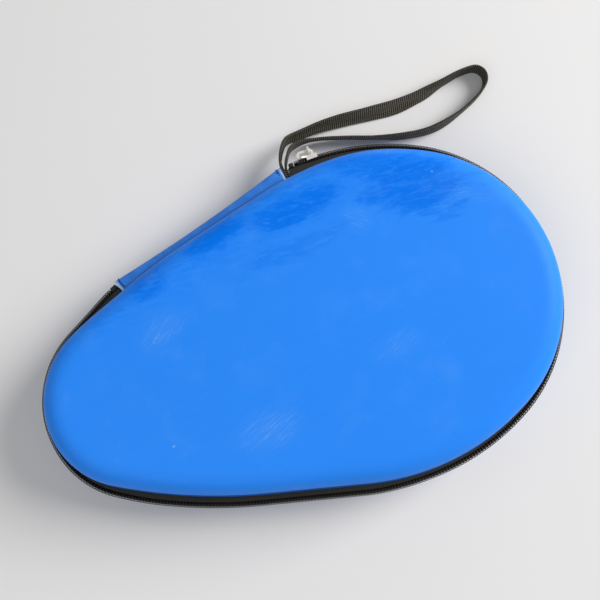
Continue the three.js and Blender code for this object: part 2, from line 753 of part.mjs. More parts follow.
const slider = new THREE.Group();
slider.position.copy(sliderCentre);
slider.rotation.z = sliderTurn;
model.add(slider);
add('slider_body', sliderBody(), nickel, slider);
add('slider_crown', sliderCrown(), nickel, slider);
add('slider_pull', pullTab(), nickel, slider);

model.position.set(-FOOTPRINT_MIDDLE[0], -FOOTPRINT_MIDDLE[1], 0);

export default model;
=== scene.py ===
# Visual model of a zipped paddle case: fine skins, lining, zip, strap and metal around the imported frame.
# Sizes are in millimetres, as the object is described, and become metres when a mesh is made.
import bisect
import math

import bpy
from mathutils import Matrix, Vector, noise


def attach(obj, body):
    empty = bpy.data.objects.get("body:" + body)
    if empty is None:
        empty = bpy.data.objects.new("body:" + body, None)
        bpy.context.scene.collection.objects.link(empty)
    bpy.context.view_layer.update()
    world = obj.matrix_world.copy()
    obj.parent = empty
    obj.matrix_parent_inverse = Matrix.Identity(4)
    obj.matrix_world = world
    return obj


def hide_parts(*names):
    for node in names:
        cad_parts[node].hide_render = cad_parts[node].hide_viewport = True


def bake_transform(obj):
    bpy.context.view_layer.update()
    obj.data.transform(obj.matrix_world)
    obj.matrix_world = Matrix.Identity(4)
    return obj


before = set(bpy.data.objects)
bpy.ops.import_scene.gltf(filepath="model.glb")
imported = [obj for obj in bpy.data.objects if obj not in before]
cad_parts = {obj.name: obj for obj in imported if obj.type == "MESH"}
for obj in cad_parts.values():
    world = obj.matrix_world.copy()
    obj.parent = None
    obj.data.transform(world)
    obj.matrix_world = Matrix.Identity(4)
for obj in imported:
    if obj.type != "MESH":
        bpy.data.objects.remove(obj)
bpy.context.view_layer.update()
MM = 0.001

# ------------------------------------------------------------------ driving sizes, as in the CAD model
# A half-shell: its heights from the zip plane, its rounded shoulder, its turned edge and its layers.
HALF_DEPTH = 24.0
RIM = 6.0
CROWN = 1.2
SHOULDER = 16.0
SHOULDER_POWER = 2.6
LIP, LIP_RISE = 1.2, 0.9
SKIN = 0.9
GAP = 0.3
FOAM = 3.6
LINING = 0.6
FOAM_DEPTH = SKIN + GAP
LINING_DEPTH = FOAM_DEPTH + FOAM + GAP
WALL = LINING_DEPTH + LINING
FOOTPRINT_MIDDLE = Vector((-0.15, 4.5, 0.0))
ORIGIN = FOOTPRINT_MIDDLE - Vector((0, 0, HALF_DEPTH))  # the zip plane's middle, from the frame's origin

# The rim's outline, half of it from the blade tip to the handle's end, and the dent of its hinge flank.
BLADE_TIP = 146.0
TIP_RADIUS, TIP_SWEEP = 85.0, 63.0
SIDE_RADIUS, FLANK_NORMAL = 134.0, 104.5
HEEL_SWEEP_START, HEEL_RADIUS = 120.3, 48.0
HINGE_DENT = 2.3
DENT_IN, DENT_OUT = (120.0, 175.0), (285.0, 330.0)

# The zip: how far it stands outside the rim at each place, and the turns or lengths over which that changes.
ZIP_STAND_SIDE, ZIP_STAND_TIP, ZIP_STAND_WAIST = 5.0, 3.2, 6.4
ZIP_STAND_HEEL, ZIP_STAND_FAR_END, HINGE_SIDE_EXTRA = 3.5, 5.0, 1.0
SIDE_TURN, WAIST_TURN = (15, 85), (88, 113)
HEEL_EASE, FAR_END_EASE, HINGE_SIDE_EASE = 76.0, 30.0, 50.0
COIL_HALF_THICKNESS, COIL_HALF_WIDTH = 1.15, 2.75
TAPE = 0.6
ZIP_SEAM_Z, SEAM_EDGE = 4.0, -1.0
ZIP_FAR_END_FROM_STRIP = 0.4
CHAIN_GAP, PARTED_GAP = 0.15, 1.45
PARTS_FROM, PARTS_TO = -2.0, 6.0
# The hinge strip and the slot at its blade end.
STRIP_FROM_X, STRIP_TO_X = 21.4, -87.0
STRIP_STAND, STRIP_THICKNESS, STRIP_FLARE = 4.4, 1.2, 1.5
STRIP_WIDTH, STRIP_INNER_EDGE = 27.2, -4.4
HINGE_NORMAL = 106.0
SLOT = 3.6
SLIDER_FROM_CORNER = 12.4
COIL_PITCH = 1.7
WEBBING, WEBBING_THICKNESS = 10.0, 1.4
# The elastic band that holds the paddle's handle.
BAND_X, BAND_WIDTH, BAND_REACH, BAND_RISE = -56.0, 25.0, 42.0, 9.0
BAND_THICKNESS, BAND_FOOT, PATCH_HEIGHT = 1.2, 9.0, 1.1


def direction(degrees):
    return Vector((math.cos(math.radians(degrees)), math.sin(math.radians(degrees))))


def smooth(x, low, high):
    t = min(max((x - low) / (high - low), 0.0), 1.0)
    return t * t * (3 - 2 * t)


# ------------------------------------------------------------------ outline
TIP_CENTRE = Vector((BLADE_TIP - TIP_RADIUS, 0))
SIDE_CENTRE = TIP_CENTRE + (TIP_RADIUS - SIDE_RADIUS) * direction(TIP_SWEEP)
HEEL_CENTRE = Vector((HEEL_RADIUS - BLADE_TIP, 0))
waist_turn = math.cos(math.radians(HEEL_SWEEP_START - FLANK_NORMAL))
flank_reach = direction(FLANK_NORMAL).dot(SIDE_CENTRE - HEEL_CENTRE) + SIDE_RADIUS
WAIST_RADIUS = (flank_reach - HEEL_RADIUS * waist_turn) / (1 - waist_turn)
WAIST_CENTRE = HEEL_CENTRE + (HEEL_RADIUS - WAIST_RADIUS) * direction(HEEL_SWEEP_START)
FLANK_START = SIDE_CENTRE + SIDE_RADIUS * direction(FLANK_NORMAL)
FLANK_END = WAIST_CENTRE + WAIST_RADIUS * direction(FLANK_NORMAL)


def arc(centre, radius, start, end):
    def at(share):
        normal = direction(start + (end - start) * share)
        return centre + radius * normal, normal

    return radius * math.radians(end - start), at


def straight(start, end, normal):
    return (end - start).length, lambda share: (start.lerp(end, share), normal.copy())


HALF_OUTLINE = [
    arc(TIP_CENTRE, TIP_RADIUS, 0, TIP_SWEEP),
    arc(SIDE_CENTRE, SIDE_RADIUS, TIP_SWEEP, FLANK_NORMAL),
    straight(FLANK_START, FLANK_END, direction(FLANK_NORMAL)),
    arc(WAIST_CENTRE, WAIST_RADIUS, FLANK_NORMAL, HEEL_SWEEP_START),
    arc(HEEL_CENTRE, HEEL_RADIUS, HEEL_SWEEP_START, 180),
]
HALF_LENGTH = sum(length for length, _ in HALF_OUTLINE)


def dent(length):
    """How far the outline is drawn in along the hinge flank."""
    along = length % (2 * HALF_LENGTH)
    return HINGE_DENT * (smooth(along, *DENT_IN) - smooth(along, *DENT_OUT))


class Station:
    """A place on the rim's outline: point, outward normal and length along it from the blade tip."""

    def __init__(self, length):
        self.length = length
        turned = length % (2 * HALF_LENGTH)
        mirrored = turned > HALF_LENGTH
        left = 2 * HALF_LENGTH - turned if mirrored else turned
        for piece_length, at in HALF_OUTLINE:
            if left <= piece_length:
                break
            left -= piece_length
        self.point, self.normal = at(min(left / piece_length, 1.0))
        if mirrored:
            self.point.y *= -1
            self.normal.y *= -1
        self.point -= dent(length) * self.normal

    def place(self, out, up):
        return Vector((self.point.x + out * self.normal.x, self.point.y + out * self.normal.y, up))


def stations(start, end, spacing):
    count = max(2, round(abs(end - start) / spacing))
    return [Station(start + (end - start) * i / count) for i in range(count + 1)]


def length_at_x(x):
    """The length along the half outline where it reaches x, found by halving."""
    low, high = 0.0, HALF_LENGTH
    for _ in range(50):
        middle = (low + high) / 2
        if Station(middle).point.x > x:
            low = middle
        else:
            high = middle
    return low


STRIP_FROM = length_at_x(STRIP_FROM_X)
STRIP_TO = length_at_x(STRIP_TO_X)
ZIP_CLOSED_END = STRIP_FROM - SLOT
ZIP_FAR_END = STRIP_TO - 2 * HALF_LENGTH + ZIP_FAR_END_FROM_STRIP
SLIDER_LENGTH = ZIP_CLOSED_END - SLIDER_FROM_CORNER
FLANK_LINE = WAIST_CENTRE.dot(direction(HINGE_NORMAL)) + WAIST_RADIUS


def zip_stand(at):
    """How far the closed zip stands outside the rim."""
    if at.length < -HALF_LENGTH:
        near_end = 1 - smooth(at.length, ZIP_FAR_END, ZIP_FAR_END + FAR_END_EASE)
        return ZIP_STAND_HEEL + (ZIP_STAND_FAR_END - ZIP_STAND_HEEL) * near_end + dent(at.length)
    facing = math.degrees(math.acos(min(max(at.normal.x, -1), 1)))
    side = (ZIP_STAND_SIDE - ZIP_STAND_TIP) * smooth(facing, *SIDE_TURN)
    waist = (ZIP_STAND_WAIST - ZIP_STAND_SIDE) * smooth(facing, *WAIST_TURN)
    heel = (ZIP_STAND_WAIST - ZIP_STAND_HEEL) * smooth(-at.length, HALF_LENGTH - HEEL_EASE, HALF_LENGTH)
    hinge_side = HINGE_SIDE_EXTRA * smooth(at.length, 0, HINGE_SIDE_EASE) + dent(at.length)
    return ZIP_STAND_TIP + side + waist - heel + hinge_side


def zip_parting(at):
    """Half the gap between the half-chains: closed behind the slider, parting in front of it."""
    parting = smooth(at.length, SLIDER_LENGTH + PARTS_FROM, SLIDER_LENGTH + PARTS_TO)
    return CHAIN_GAP + PARTED_GAP * parting


# ------------------------------------------------------------------ mesh helpers
def make_object(name, points, faces, uvs=None, materials=(), face_slots=None):
    """A mesh object from points in millimetres about the zip plane's middle."""
    mesh = bpy.data.meshes.new(name)
    mesh.from_pydata([(Vector(p) - ORIGIN) * MM for p in points], [], faces)
    if uvs is not None:
        layer = mesh.uv_layers.new(name="UVMap")
        for loop in mesh.loops:
            layer.data[loop.index].uv = uvs[loop.vertex_index]
    for material in materials:
        mesh.materials.append(material)
    if face_slots is not None:
        mesh.polygons.foreach_set("material_index", face_slots)
    mesh.polygons.foreach_set("use_smooth", [True] * len(mesh.polygons))
    mesh.validate()
    piece = bpy.data.objects.new(name, mesh)
    bpy.context.scene.collection.objects.link(piece)
    return piece


def loft(name, rings, closed=False, materials=(), sharp=None):
    """Quads between rings of points, closed on themselves or with flat ends. UV runs in millimetres."""
    count = len(rings[0])
    points = [p for ring in rings for p in ring]
    middles = [sum((Vector(p) for p in ring), Vector()) / count for ring in rings]
    along, uvs = 0.0, []
    for r, ring in enumerate(rings):
        if r:
            along += (middles[r] - middles[r - 1]).length
        across = 0.0
        for i, p in enumerate(ring):
            if i:
                across += (Vector(p) - Vector(ring[i - 1])).length
            uvs.append((along, across))
    faces = []
    for r in range(len(rings) - (0 if closed else 1)):
        n = (r + 1) % len(rings)
        for i in range(count):
            j = (i + 1) % count
            faces.append((r * count + i, r * count + j, n * count + j, n * count + i))
    if not closed:
        last = (len(rings) - 1) * count
        faces.append(tuple(range(count - 1, -1, -1)))
        faces.append(tuple(range(last, last + count)))
    piece = make_object(name, points, faces, uvs, materials)
    outward(piece)
    if sharp:
        crisp(piece, sharp)
    return piece


def outward(piece):
    """Turns the faces of a closed mesh to point out."""
    mesh = piece.data
    volume = 0.0
    for polygon in mesh.polygons:
        corners = [mesh.vertices[i].co for i in polygon.vertices]
        for k in range(1, len(corners) - 1):
            volume += corners[0].dot(corners[k].cross(corners[k + 1]))
    if volume < 0:
        mesh.flip_normals()


def crisp(piece, degrees):
    """Marks edges sharper than an angle, so that flat faces stay flat."""
    mesh = piece.data
    limit = math.radians(degrees)
    normals = {}
    for polygon in mesh.polygons:
        for key in polygon.edge_keys:
            normals.setdefault(key, []).append(polygon.normal)
    for edge in mesh.edges:
        sides = normals.get(edge.key, [])
        if len(sides) == 2 and sides[0].angle(sides[1], 0) > limit:
            edge.use_edge_sharp = True


def bevel(piece, width):
    """Rounds the edges that turn by more than 35 degrees."""
    cut = piece.modifiers.new("edges", "BEVEL")
    cut.width = width * MM
    cut.segments = 3
    cut.limit_method = "ANGLE"
    cut.angle_limit = math.radians(35)


def thicken(middle, thickness):
    """A closed section of even thickness about a line of points, with rounded ends."""
    half, bulge = thickness / 2, 0.35
    sides = ([], [])
    for i, (x, y) in enumerate(middle):
        before = Vector(middle[max(i - 1, 0)])
        after = Vector(middle[min(i + 1, len(middle) - 1)])
        run = (after - before).normalized()
        for side, way in zip(sides, (1, -1)):
            side.append((x - way * half * run.y, y + way * half * run.x))
    ends = []
    for end, inward in ((middle[-1], middle[-2]), (middle[0], middle[1])):
        run = (Vector(end) - Vector(inward)).normalized()
        ends.append((end[0] + bulge * half * run.x, end[1] + bulge * half * run.y))
    return sides[0] + [ends[0]] + sides[1][::-1] + [ends[1]]


def lengths_along(path):
    marks = [0.0]
    for a, b in zip(path, path[1:]):
        marks.append(marks[-1] + (b - a).length)
    return marks


def curve_points(corners, per_span):
    """Points on a smooth curve through corners in the plane or in space."""
    corners = [Vector(c) for c in corners]
    padded = [2 * corners[0] - corners[1]] + corners + [2 * corners[-1] - corners[-2]]
    result = []
    for i in range(1, len(padded) - 2):
        a, b, c, d = padded[i - 1 : i + 3]
        knots = [0.0]
        for p, q in ((a, b), (b, c), (c, d)):
            knots.append(knots[-1] + max((q - p).length, 1e-6) ** 0.5)
        for step in range(per_span):
            t = knots[1] + (knots[2] - knots[1]) * step / per_span
            ab = a.lerp(b, (t - knots[0]) / (knots[1] - knots[0]))
            bc = b.lerp(c, (t - knots[1]) / (knots[2] - knots[1]))
            cd = c.lerp(d, (t - knots[2]) / (knots[3] - knots[2]))
            abc = ab.lerp(bc, (t - knots[0]) / (knots[2] - knots[0]))
            bcd = bc.lerp(cd, (t - knots[1]) / (knots[3] - knots[1]))
            result.append(abc.lerp(bcd, (t - knots[1]) / (knots[2] - knots[1])))
    result.append(corners[-1])
    return result


def tube(name, path, radius, sides=6, materials=()):
    """A round thread along a path of points."""
    rings = []
    normal = None
    for i, p in enumerate(path):
        run = (path[min(i + 1, len(path) - 1)] - path[max(i - 1, 0)]).normalized()
        if normal is None:
            normal = run.orthogonal().normalized()
        normal = (normal - run * normal.dot(run)).normalized()
        side = run.cross(normal)
        turns = [2 * math.pi * k / sides for k in range(sides)]
        rings.append([p + radius * (math.cos(t) * normal + math.sin(t) * side) for t in turns])
    return loft(name, rings, materials=materials)


def join(name, pieces):
    """One object from several that share their materials."""
    points, faces, uvs, slots = [], [], [], []
    materials = list(pieces[0].data.materials)
    for piece in pieces:
        start = len(points)
        mesh = piece.data
        points += [v.co.copy() / MM + ORIGIN for v in mesh.vertices]
        corner_uv = {}
        if mesh.uv_layers:
            for loop in mesh.loops:
                corner_uv[loop.vertex_index] = mesh.uv_layers[0].data[loop.index].uv[:]
        uvs += [corner_uv.get(i, (0, 0)) for i in range(len(mesh.vertices))]
        for polygon in mesh.polygons:
            faces.append(tuple(i + start for i in polygon.vertices))
            slots.append(polygon.material_index)
        bpy.data.objects.remove(piece)
    return make_object(name, points, faces, uvs, materials, slots)


# ------------------------------------------------------------------ materials
class Graph:
    """A material's node tree, with short calls for the nodes used here."""

    def __init__(self, name, roughness, specular=0.5, metallic=0.0):
        self.material = bpy.data.materials.new(name)
        self.material.use_nodes = True
        self.tree = self.material.node_tree
        self.shader = self.tree.nodes["Principled BSDF"]
        self.shader.inputs["Roughness"].default_value = roughness
        self.shader.inputs["Metallic"].default_value = metallic
        self.shader.inputs["Specular IOR Level"].default_value = specular

    def add(self, kind, inputs, **settings):
        """A new node, with its inputs fed by name or number."""
        node = self.tree.nodes.new(kind)
        for key, value in settings.items():
            setattr(node, key, value)
        for key, value in inputs.items():
            self.feed(node.inputs[key], value)
        return node

    def feed(self, socket, value):
        if isinstance(value, bpy.types.NodeSocket):
            self.tree.links.new(value, socket)
        elif isinstance(value, (tuple, list)) and socket.type == "RGBA":
            socket.default_value = (*value[:3], 1)
        else:
            socket.default_value = value

    def place(self, scale=(1, 1, 1), turn=0.0, shift=(0, 0, 0), uv=False):
        """Coordinates in millimetres, shifted, then turned about Z, then scaled per axis."""
        vector = self.add("ShaderNodeTexCoord", {}).outputs["UV" if uv else "Object"]
        unit = 1.0 if uv else 1000.0
        steps = (
            {"Scale": (unit, unit, unit), "Location": tuple(-s for s in shift)},
            {"Rotation": (0, 0, -math.radians(turn))},
            {"Scale": scale},
        )
        for step in steps:
            vector = self.add("ShaderNodeMapping", {"Vector": vector, **step}).outputs[0]
        return vector

    def noise(self, where, scale=1.0, detail=3.0, roughness=0.5, distortion=0.0):
        inputs = {"Vector": where, "Scale": scale, "Detail": detail, "Roughness": roughness}
        return self.add("ShaderNodeTexNoise", {**inputs, "Distortion": distortion}).outputs["Fac"]

    def wave(self, where, per_mm, axis):
        """Bands across an axis, so many to the millimetre."""
        inputs = {"Vector": where, "Scale": per_mm * math.pi / 10}
        return self.add("ShaderNodeTexWave", inputs, bands_direction=axis).outputs["Fac"]

    def step(self, value, low, high, bottom=0.0, top=1.0):
        inputs = {"Value": value, "From Min": low, "From Max": high, "To Min": bottom, "To Max": top}
        return self.add("ShaderNodeMapRange", inputs, interpolation_type="SMOOTHSTEP").outputs[0]

    def math(self, operation, a, b=0.0):
        return self.add("ShaderNodeMath", {0: a, 1: b}, operation=operation).outputs[0]

    def times(self, a, b):
        return self.math("MULTIPLY", a, b)

    def plus(self, a, b):
        return self.math("ADD", a, b)

    def minus(self, a, b):
        return self.math("SUBTRACT", a, b)

    def axis(self, where, name):
        return self.add("ShaderNodeSeparateXYZ", {0: where}).outputs[name]

    def mix(self, factor, a, b):
        colour_a, colour_b = 6, 7
        inputs = {"Factor": factor, colour_a: a, colour_b: b}
        return self.add("ShaderNodeMix", inputs, data_type="RGBA").outputs[2]

    def reach(self, x, y, length, across, turn=0.0):
        """How far a place is from an oval mark's centre: 1 at its edge. length and across are half sizes."""
        where = self.place((1 / length, 1 / across, 0), turn, (x, y, 0))
        return self.add("ShaderNodeVectorMath", {0: where}, operation="LENGTH").outputs["Value"]

    def bump(self, height, distance, strength):
        """Relief of a height from 0 to 1, distance in millimetres."""
        inputs = {"Strength": strength, "Distance": distance * MM, "Height": height}
        self.feed(self.shader.inputs["Normal"], self.add("ShaderNodeBump", inputs).outputs[0])

    def colour(self, value):
        self.feed(self.shader.inputs["Base Color"], value)

    def roughness(self, value):
        self.feed(self.shader.inputs["Roughness"], value)


# Among these blues, the pale shoulder blue is a painted sheen and the dark navy a painted shade.
BLUE, DEEP_BLUE, PALE_BLUE = (0.025, 0.262, 0.99), (0.0, 0.176, 0.88), (0.16, 0.40, 0.95)
SCRATCH_BLUE, DOT_BLUE, PAINTED_SHEEN_BLUE = (0.004, 0.12, 0.62), (0.008, 0.11, 0.55), (0.15, 0.48, 0.98)
PAINTED_SHADE_BLUE = (0.002, 0.045, 0.17)
LID_TOP = (40, 44)  # the heights over which the marks of the lid's top fade in
# Marks on the lid's top: centre x and y, half length, half width, turn from the case's length, strength.
DEEP_PATCHES = [
    (18, 60, 32, 14, 4, 1.0),
    (-30, 61, 26, 10, 14, 1.0),
    (-66, 51, 18, 10, 16, 0.9),
    (64, 72, 38, 9, -18, 0.85),
    (84, 51, 36, 20, -22, 1.0),
    (12, 40, 40, 7, 4, 0.4),
]
PALE_SCUFFS = [
    (-34, -46, 24, 15, 2, 0.60),
    (-70, 22, 20, 11, 18, 0.60),
    (-68, 52, 8, 6, 16, 0.40),
    (48, 44, 12, 9, -60, 0.45),
    (44, -28, 18, 10, 10, 0.40),
    (76, 76, 22, 4, -16, 0.45),
    (109, 39, 24, 8, -38, 0.25),
]
# Pale specks there: centre x and y, and half length.
PALE_SPECKS = [
    (-83, -37, 1.3),
    (96, 55, 0.9),
    (-76, 17, 0.8),
]


def deep_marks(g, streak, ragged, wisps):
    """How much deeper the blue is: faint streaks, a haze towards the hinge side and ragged patches."""
    towards_hinge = g.step(g.axis(g.place(turn=10), "Y"), 34, 68)
    haze = g.times(g.times(towards_hinge, g.step(wisps, 0.40, 0.62)), 0.5)
    deep = g.plus(g.times(g.step(streak, 0.45, 0.75), 0.08), haze)
    ragged_edge = g.minus(g.plus(g.times(ragged, 2.2), g.times(wisps, 1.5)), 1.85)
    for x, y, length, across, turn, amount in DEEP_PATCHES:
        reach = g.plus(g.reach(x, y, length, across, turn), ragged_edge)
        broken = g.step(wisps, 0.38, 0.52, amount - 0.45, amount)
        deep = g.math("MAXIMUM", deep, g.times(g.step(reach, 0.50, 1.05, 1.0, 0.0), broken))
    return deep


def pale_marks(g, small_cloud, top):
    """How much paler the blue is: faint clouds, and rubbed strokes and specks on the lid's top."""
    pale = g.times(g.step(small_cloud, 0.5, 0.78), 0.10)
    for x, y, length, across, turn, amount in PALE_SCUFFS:
        inside = g.step(g.reach(x, y, length, across, turn), 0.15, 1.0, 1.0, 0.0)
        strokes = g.step(g.noise(g.place((0.10, 1.3, 1.3), turn + 20), 1.0, 4.0, 0.7), 0.52, 0.64)
        rubbed = g.times(g.plus(g.times(strokes, 0.8), 0.2), amount)
        pale = g.math("MAXIMUM", pale, g.times(g.times(inside, rubbed), top))
    for x, y, size in PALE_SPECKS:
        dot = g.step(g.reach(x, y, size, 0.7 * size), 0.3, 1.0, 0.8, 0.0)
        pale = g.math("MAXIMUM", pale, g.times(dot, top))
    return pale


def painted_shoulder_sheen(g, height):
    """How much painted sheen pales the lid's rounded shoulder, at the blade end only."""
    blade_end = g.step(g.axis(g.place(turn=-12), "X"), 80, 125, 0.0, 0.42)
    return g.times(g.step(height, 37, 44, 1.0, 0.0), blade_end)


def painted_wall_shade(g, height, small_cloud):
    """How much painted shade darkens the walls beside the zip, less towards the blade end."""
    from_zip_plane = g.math("ABSOLUTE", g.minus(height, HALF_DEPTH))
    low_wall = g.step(g.plus(from_zip_plane, g.times(small_cloud, 3.0)), 8.5, 15.5, 1.0, 0.0)
    return g.times(low_wall, g.step(g.axis(g.place(turn=53), "X"), -60, 20, 0.75, 0.05))


def blue_skin():
    """Scuffed blue skin of the half-shells, with a painted sheen and a painted shade. Its noises are drawn
    out along the case.
    """
    g = Graph("blue_skin", 0.45, specular=0.09)
    plain = g.place()
    height = g.axis(plain, "Z")
    streak = g.noise(g.place((0.035, 0.9, 0.9), 4), 1.0, 3.0, 0.6)
    scratch = g.noise(g.place((0.12, 2.6, 2.6), 10), 1.0, 2.0, 0.7)
    ragged = g.noise(g.place((0.03, 0.085, 0.085), 6, (40, 0, 0)), 1.0, 6.0, 0.68)
    wisps = g.noise(g.place((0.09, 0.42, 0.42), -4), 1.0, 5.0, 0.7, 0.5)
    small_cloud = g.noise(plain, 0.055, 5.0, 0.6)
    top = g.step(height, *LID_TOP)
    colour = g.mix(g.times(deep_marks(g, streak, ragged, wisps), top), BLUE, DEEP_BLUE)
    colour = g.mix(pale_marks(g, small_cloud, top), colour, PALE_BLUE)
    colour = g.mix(g.times(g.step(scratch, 0.66, 0.74), 0.16), colour, SCRATCH_BLUE)
    dots = g.step(g.noise(plain, 0.5, 1.0, 0.4), 0.78, 0.80)
    colour = g.mix(g.times(dots, 0.25), colour, DOT_BLUE)
    # Painted sheen: the shoulder at the blade end made paler, where the light falls on it.
    colour = g.mix(painted_shoulder_sheen(g, height), colour, PAINTED_SHEEN_BLUE)
    # Painted shade: a dark navy on the walls beside the zip, away from the blade end.
    g.colour(g.mix(painted_wall_shade(g, height, small_cloud), colour, PAINTED_SHADE_BLUE))
    worn = g.plus(g.times(small_cloud, 0.18), g.times(streak, 0.12))
    g.roughness(g.plus(worn, 0.34))
    grain = g.times(g.noise(plain, 2.2, 3.0, 0.6), 0.5)
    g.bump(g.plus(grain, g.times(scratch, 0.5)), 0.05, 0.5)
    return g.material


FOLD_BLUE, TUCKED_SHADE_BLUE = (0.10, 0.20, 0.42), (0.010, 0.070, 0.24)


def strip_skin(name, colour, shade):
    """The hinge strip's plain skin, dull at its fold, with painted shade where it goes in under the shells.
    """
    g = Graph(name, 0.5, specular=0.35)
    where = g.place()
    mottled = g.noise(where, 0.12, 4.0, 0.6)
    tint = g.mix(g.step(mottled, 0.35, 0.75), shade, colour)
    off_fold = g.step(g.math("ABSOLUTE", g.minus(g.axis(where, "Z"), HALF_DEPTH)), 0.2, 3.2)
    tint = g.mix(g.times(g.minus(1.0, off_fold), 0.3), tint, FOLD_BLUE)
    off_middle = g.math("ABSOLUTE", g.minus(g.axis(g.place(uv=True), "Y"), STRIP_WIDTH / 2))
    # Painted shade: a dark blue where the strip goes in under the shells.
    tucked_shade = g.step(g.plus(off_middle, g.times(mottled, 2.0)), 6.6, 8.6)
    g.colour(g.mix(g.times(tucked_shade, 0.7), tint, TUCKED_SHADE_BLUE))
    g.bump(g.noise(where, 2.0, 3.0, 0.6), 0.06, 0.5)
    return g.material


def plain_soft(name, colour, shade, roughness, scale, relief):
    """A soft dull material with a fine random grain, for foam, knit and cut edges."""
    g = Graph(name, roughness, specular=0.2)
    where = g.place()
    grain = g.noise(where, scale, 3.0, 0.65)
    g.colour(g.mix(g.step(grain, 0.3, 0.7), shade, colour))
    g.bump(grain, relief, 0.8)
    return g.material


def woven(name, colour, shade, rib_pitch, relief, threads_per_mm):
    """Cloth with ribs across its length and threads along it. Its coordinates run along, then across."""
    g = Graph(name, 0.75, specular=0.3)
    where = g.place(uv=True)
    rib = g.math("POWER", g.wave(where, 1 / rib_pitch, "X"), 0.8)
    thread = g.wave(where, threads_per_mm, "Y")
    fuzz = g.noise(where, 1.6, 3.0, 0.7)
    wear = g.noise(g.place((0.02, 0.2, 0.2), uv=True), 1.0, 3.0, 0.6)
    height = g.plus(g.times(rib, 0.7), g.times(thread, 0.3))
    light = g.times(height, g.step(fuzz, 0.25, 0.75, 0.55, 1.0))
    light = g.times(light, g.step(wear, 0.3, 0.7, 0.75, 1.0))
    g.colour(g.mix(g.step(light, 0.18, 0.85), shade, colour))
    g.bump(g.plus(height, g.times(fuzz, 0.35)), relief, 0.9)
    return g.material


def plastic(name, colour, roughness, specular):
    """Moulded plastic with a faint mottle."""
    g = Graph(name, roughness, specular=specular)
    where = g.place()
    paler = tuple(1.6 * c for c in colour)
    g.colour(g.mix(g.noise(where, 0.8, 3.0, 0.6), colour, paler))
    g.bump(g.noise(where, 3.0, 2.0, 0.6), 0.02, 0.4)
    return g.material


def nickel_plate():
    """Cast metal with a worn warm plating."""
    g = Graph("worn_nickel", 0.5, metallic=0.5)
    where = g.place()
    bright_tint, dull_tint = (0.95, 0.92, 0.85), (0.74, 0.70, 0.62)
    dull = g.step(g.noise(where, 0.45, 4.0, 0.65), 0.45, 0.72)
    g.colour(g.mix(dull, bright_tint, dull_tint))
    g.roughness(g.plus(g.times(dull, 0.15), 0.40))
    g.bump(g.noise(where, 1.5, 3.0, 0.6), 0.04, 0.5)
    return g.material


def floor_finish():
    g = Graph("floor", 0.85, specular=0.2)
    g.colour((0.80, 0.80, 0.81))
    return g.material


# Each finish: its name, its colour and the shade in its hollows, then its own numbers.
SKIN_BLUE = blue_skin()
STRIP_BLUE = strip_skin("strip_blue", (0.045, 0.26, 0.84), (0.026, 0.19, 0.68))
CUT_EDGE = plain_soft("cut_edge", (0.42, 0.60, 0.85), (0.25, 0.42, 0.72), 0.8, 2.0, 0.05)
FOAM_BLACK = plain_soft("foam_black", (0.022, 0.022, 0.024), (0.012, 0.012, 0.013), 0.9, 2.5, 0.1)
KNIT_GREY = plain_soft("knit_grey", (0.050, 0.052, 0.060), (0.020, 0.021, 0.026), 0.95, 1.8, 0.18)
BINDING_TAPE = woven("binding_tape", (0.060, 0.060, 0.058), (0.016, 0.016, 0.016), 1.0, 0.12, 1.2)
ZIP_TAPE = woven("zip_tape", (0.050, 0.048, 0.042), (0.014, 0.014, 0.013), 0.8, 0.08, 1.1)
COIL_BLACK = plastic("coil_black", (0.040, 0.036, 0.028), 0.5, 0.35)
CORE_BLACK = plastic("core_black", (0.006, 0.006, 0.006), 0.8, 0.1)
STOP_BLACK = plastic("stop_black", (0.018, 0.018, 0.018), 0.55, 0.3)
WEBBING_BLACK = woven("webbing_black", (0.25, 0.225, 0.165), (0.004, 0.004, 0.005), 1.35, 0.35, 0.9)
ELASTIC_BLACK = woven("elastic_black", (0.065, 0.065, 0.070), (0.014, 0.014, 0.016), 1.6, 0.2, 0.8)
THREAD_NAVY = plain_soft("thread_navy", (0.010, 0.020, 0.075), (0.005, 0.010, 0.040), 0.6, 3.0, 0.05)
THREAD_BLACK = plain_soft("thread_black", (0.085, 0.080, 0.068), (0.020, 0.019, 0.017), 0.6, 3.0, 0.05)
NICKEL = nickel_plate()


# ------------------------------------------------------------------ parts of the two halves
def stands_for(piece, body, slot, *nodes):
    """piece rides on a body and is shown instead of its CAD nodes."""
    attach(piece, body)
    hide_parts(*nodes)
    return piece


def sewn_on(piece, body):
    """piece rides on a body as a detail that the CAD leaves out."""
    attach(piece, body)
    return piece


def shoulder_rings(rim, depth, steps):
    """Rings from the top's edge down to the rim, at a depth below the outer face."""
    power = 2 / SHOULDER_POWER
    rise = HALF_DEPTH - RIM
    rings = []
    for k in range(steps, -1, -1):
        turn = 0.5 * math.pi * k / steps
        c, s = max(math.cos(turn), 0.0), math.sin(turn)
        out = -SHOULDER * (1 - c**power)
        up = RIM + rise * s**power
        across = Vector((rise * c ** (2 - power), SHOULDER * s ** (2 - power))).normalized()
        rings.append([at.place(out - depth * across.x, up - depth * across.y) for at in rim])
    return rings


WAVE_LONG, WAVE_WIDE = 38.0, 30.0  # the size of the faint waves in a pressed face
# The turned edge of each shell, from the wall down to its underside.
LIP_SECTION = [
    (0.0, 2.4 * LIP_RISE),
    (0.08, 1.9 * LIP_RISE),
    (0.3 * LIP, 1.35 * LIP_RISE),
    (0.65 * LIP, 1.05 * LIP_RISE),
    (0.9 * LIP, 0.85 * LIP_RISE),
    (LIP, 0.5 * LIP_RISE),
    (0.9 * LIP, 0.12 * LIP_RISE),
    (0.65 * LIP, 0.0),
]


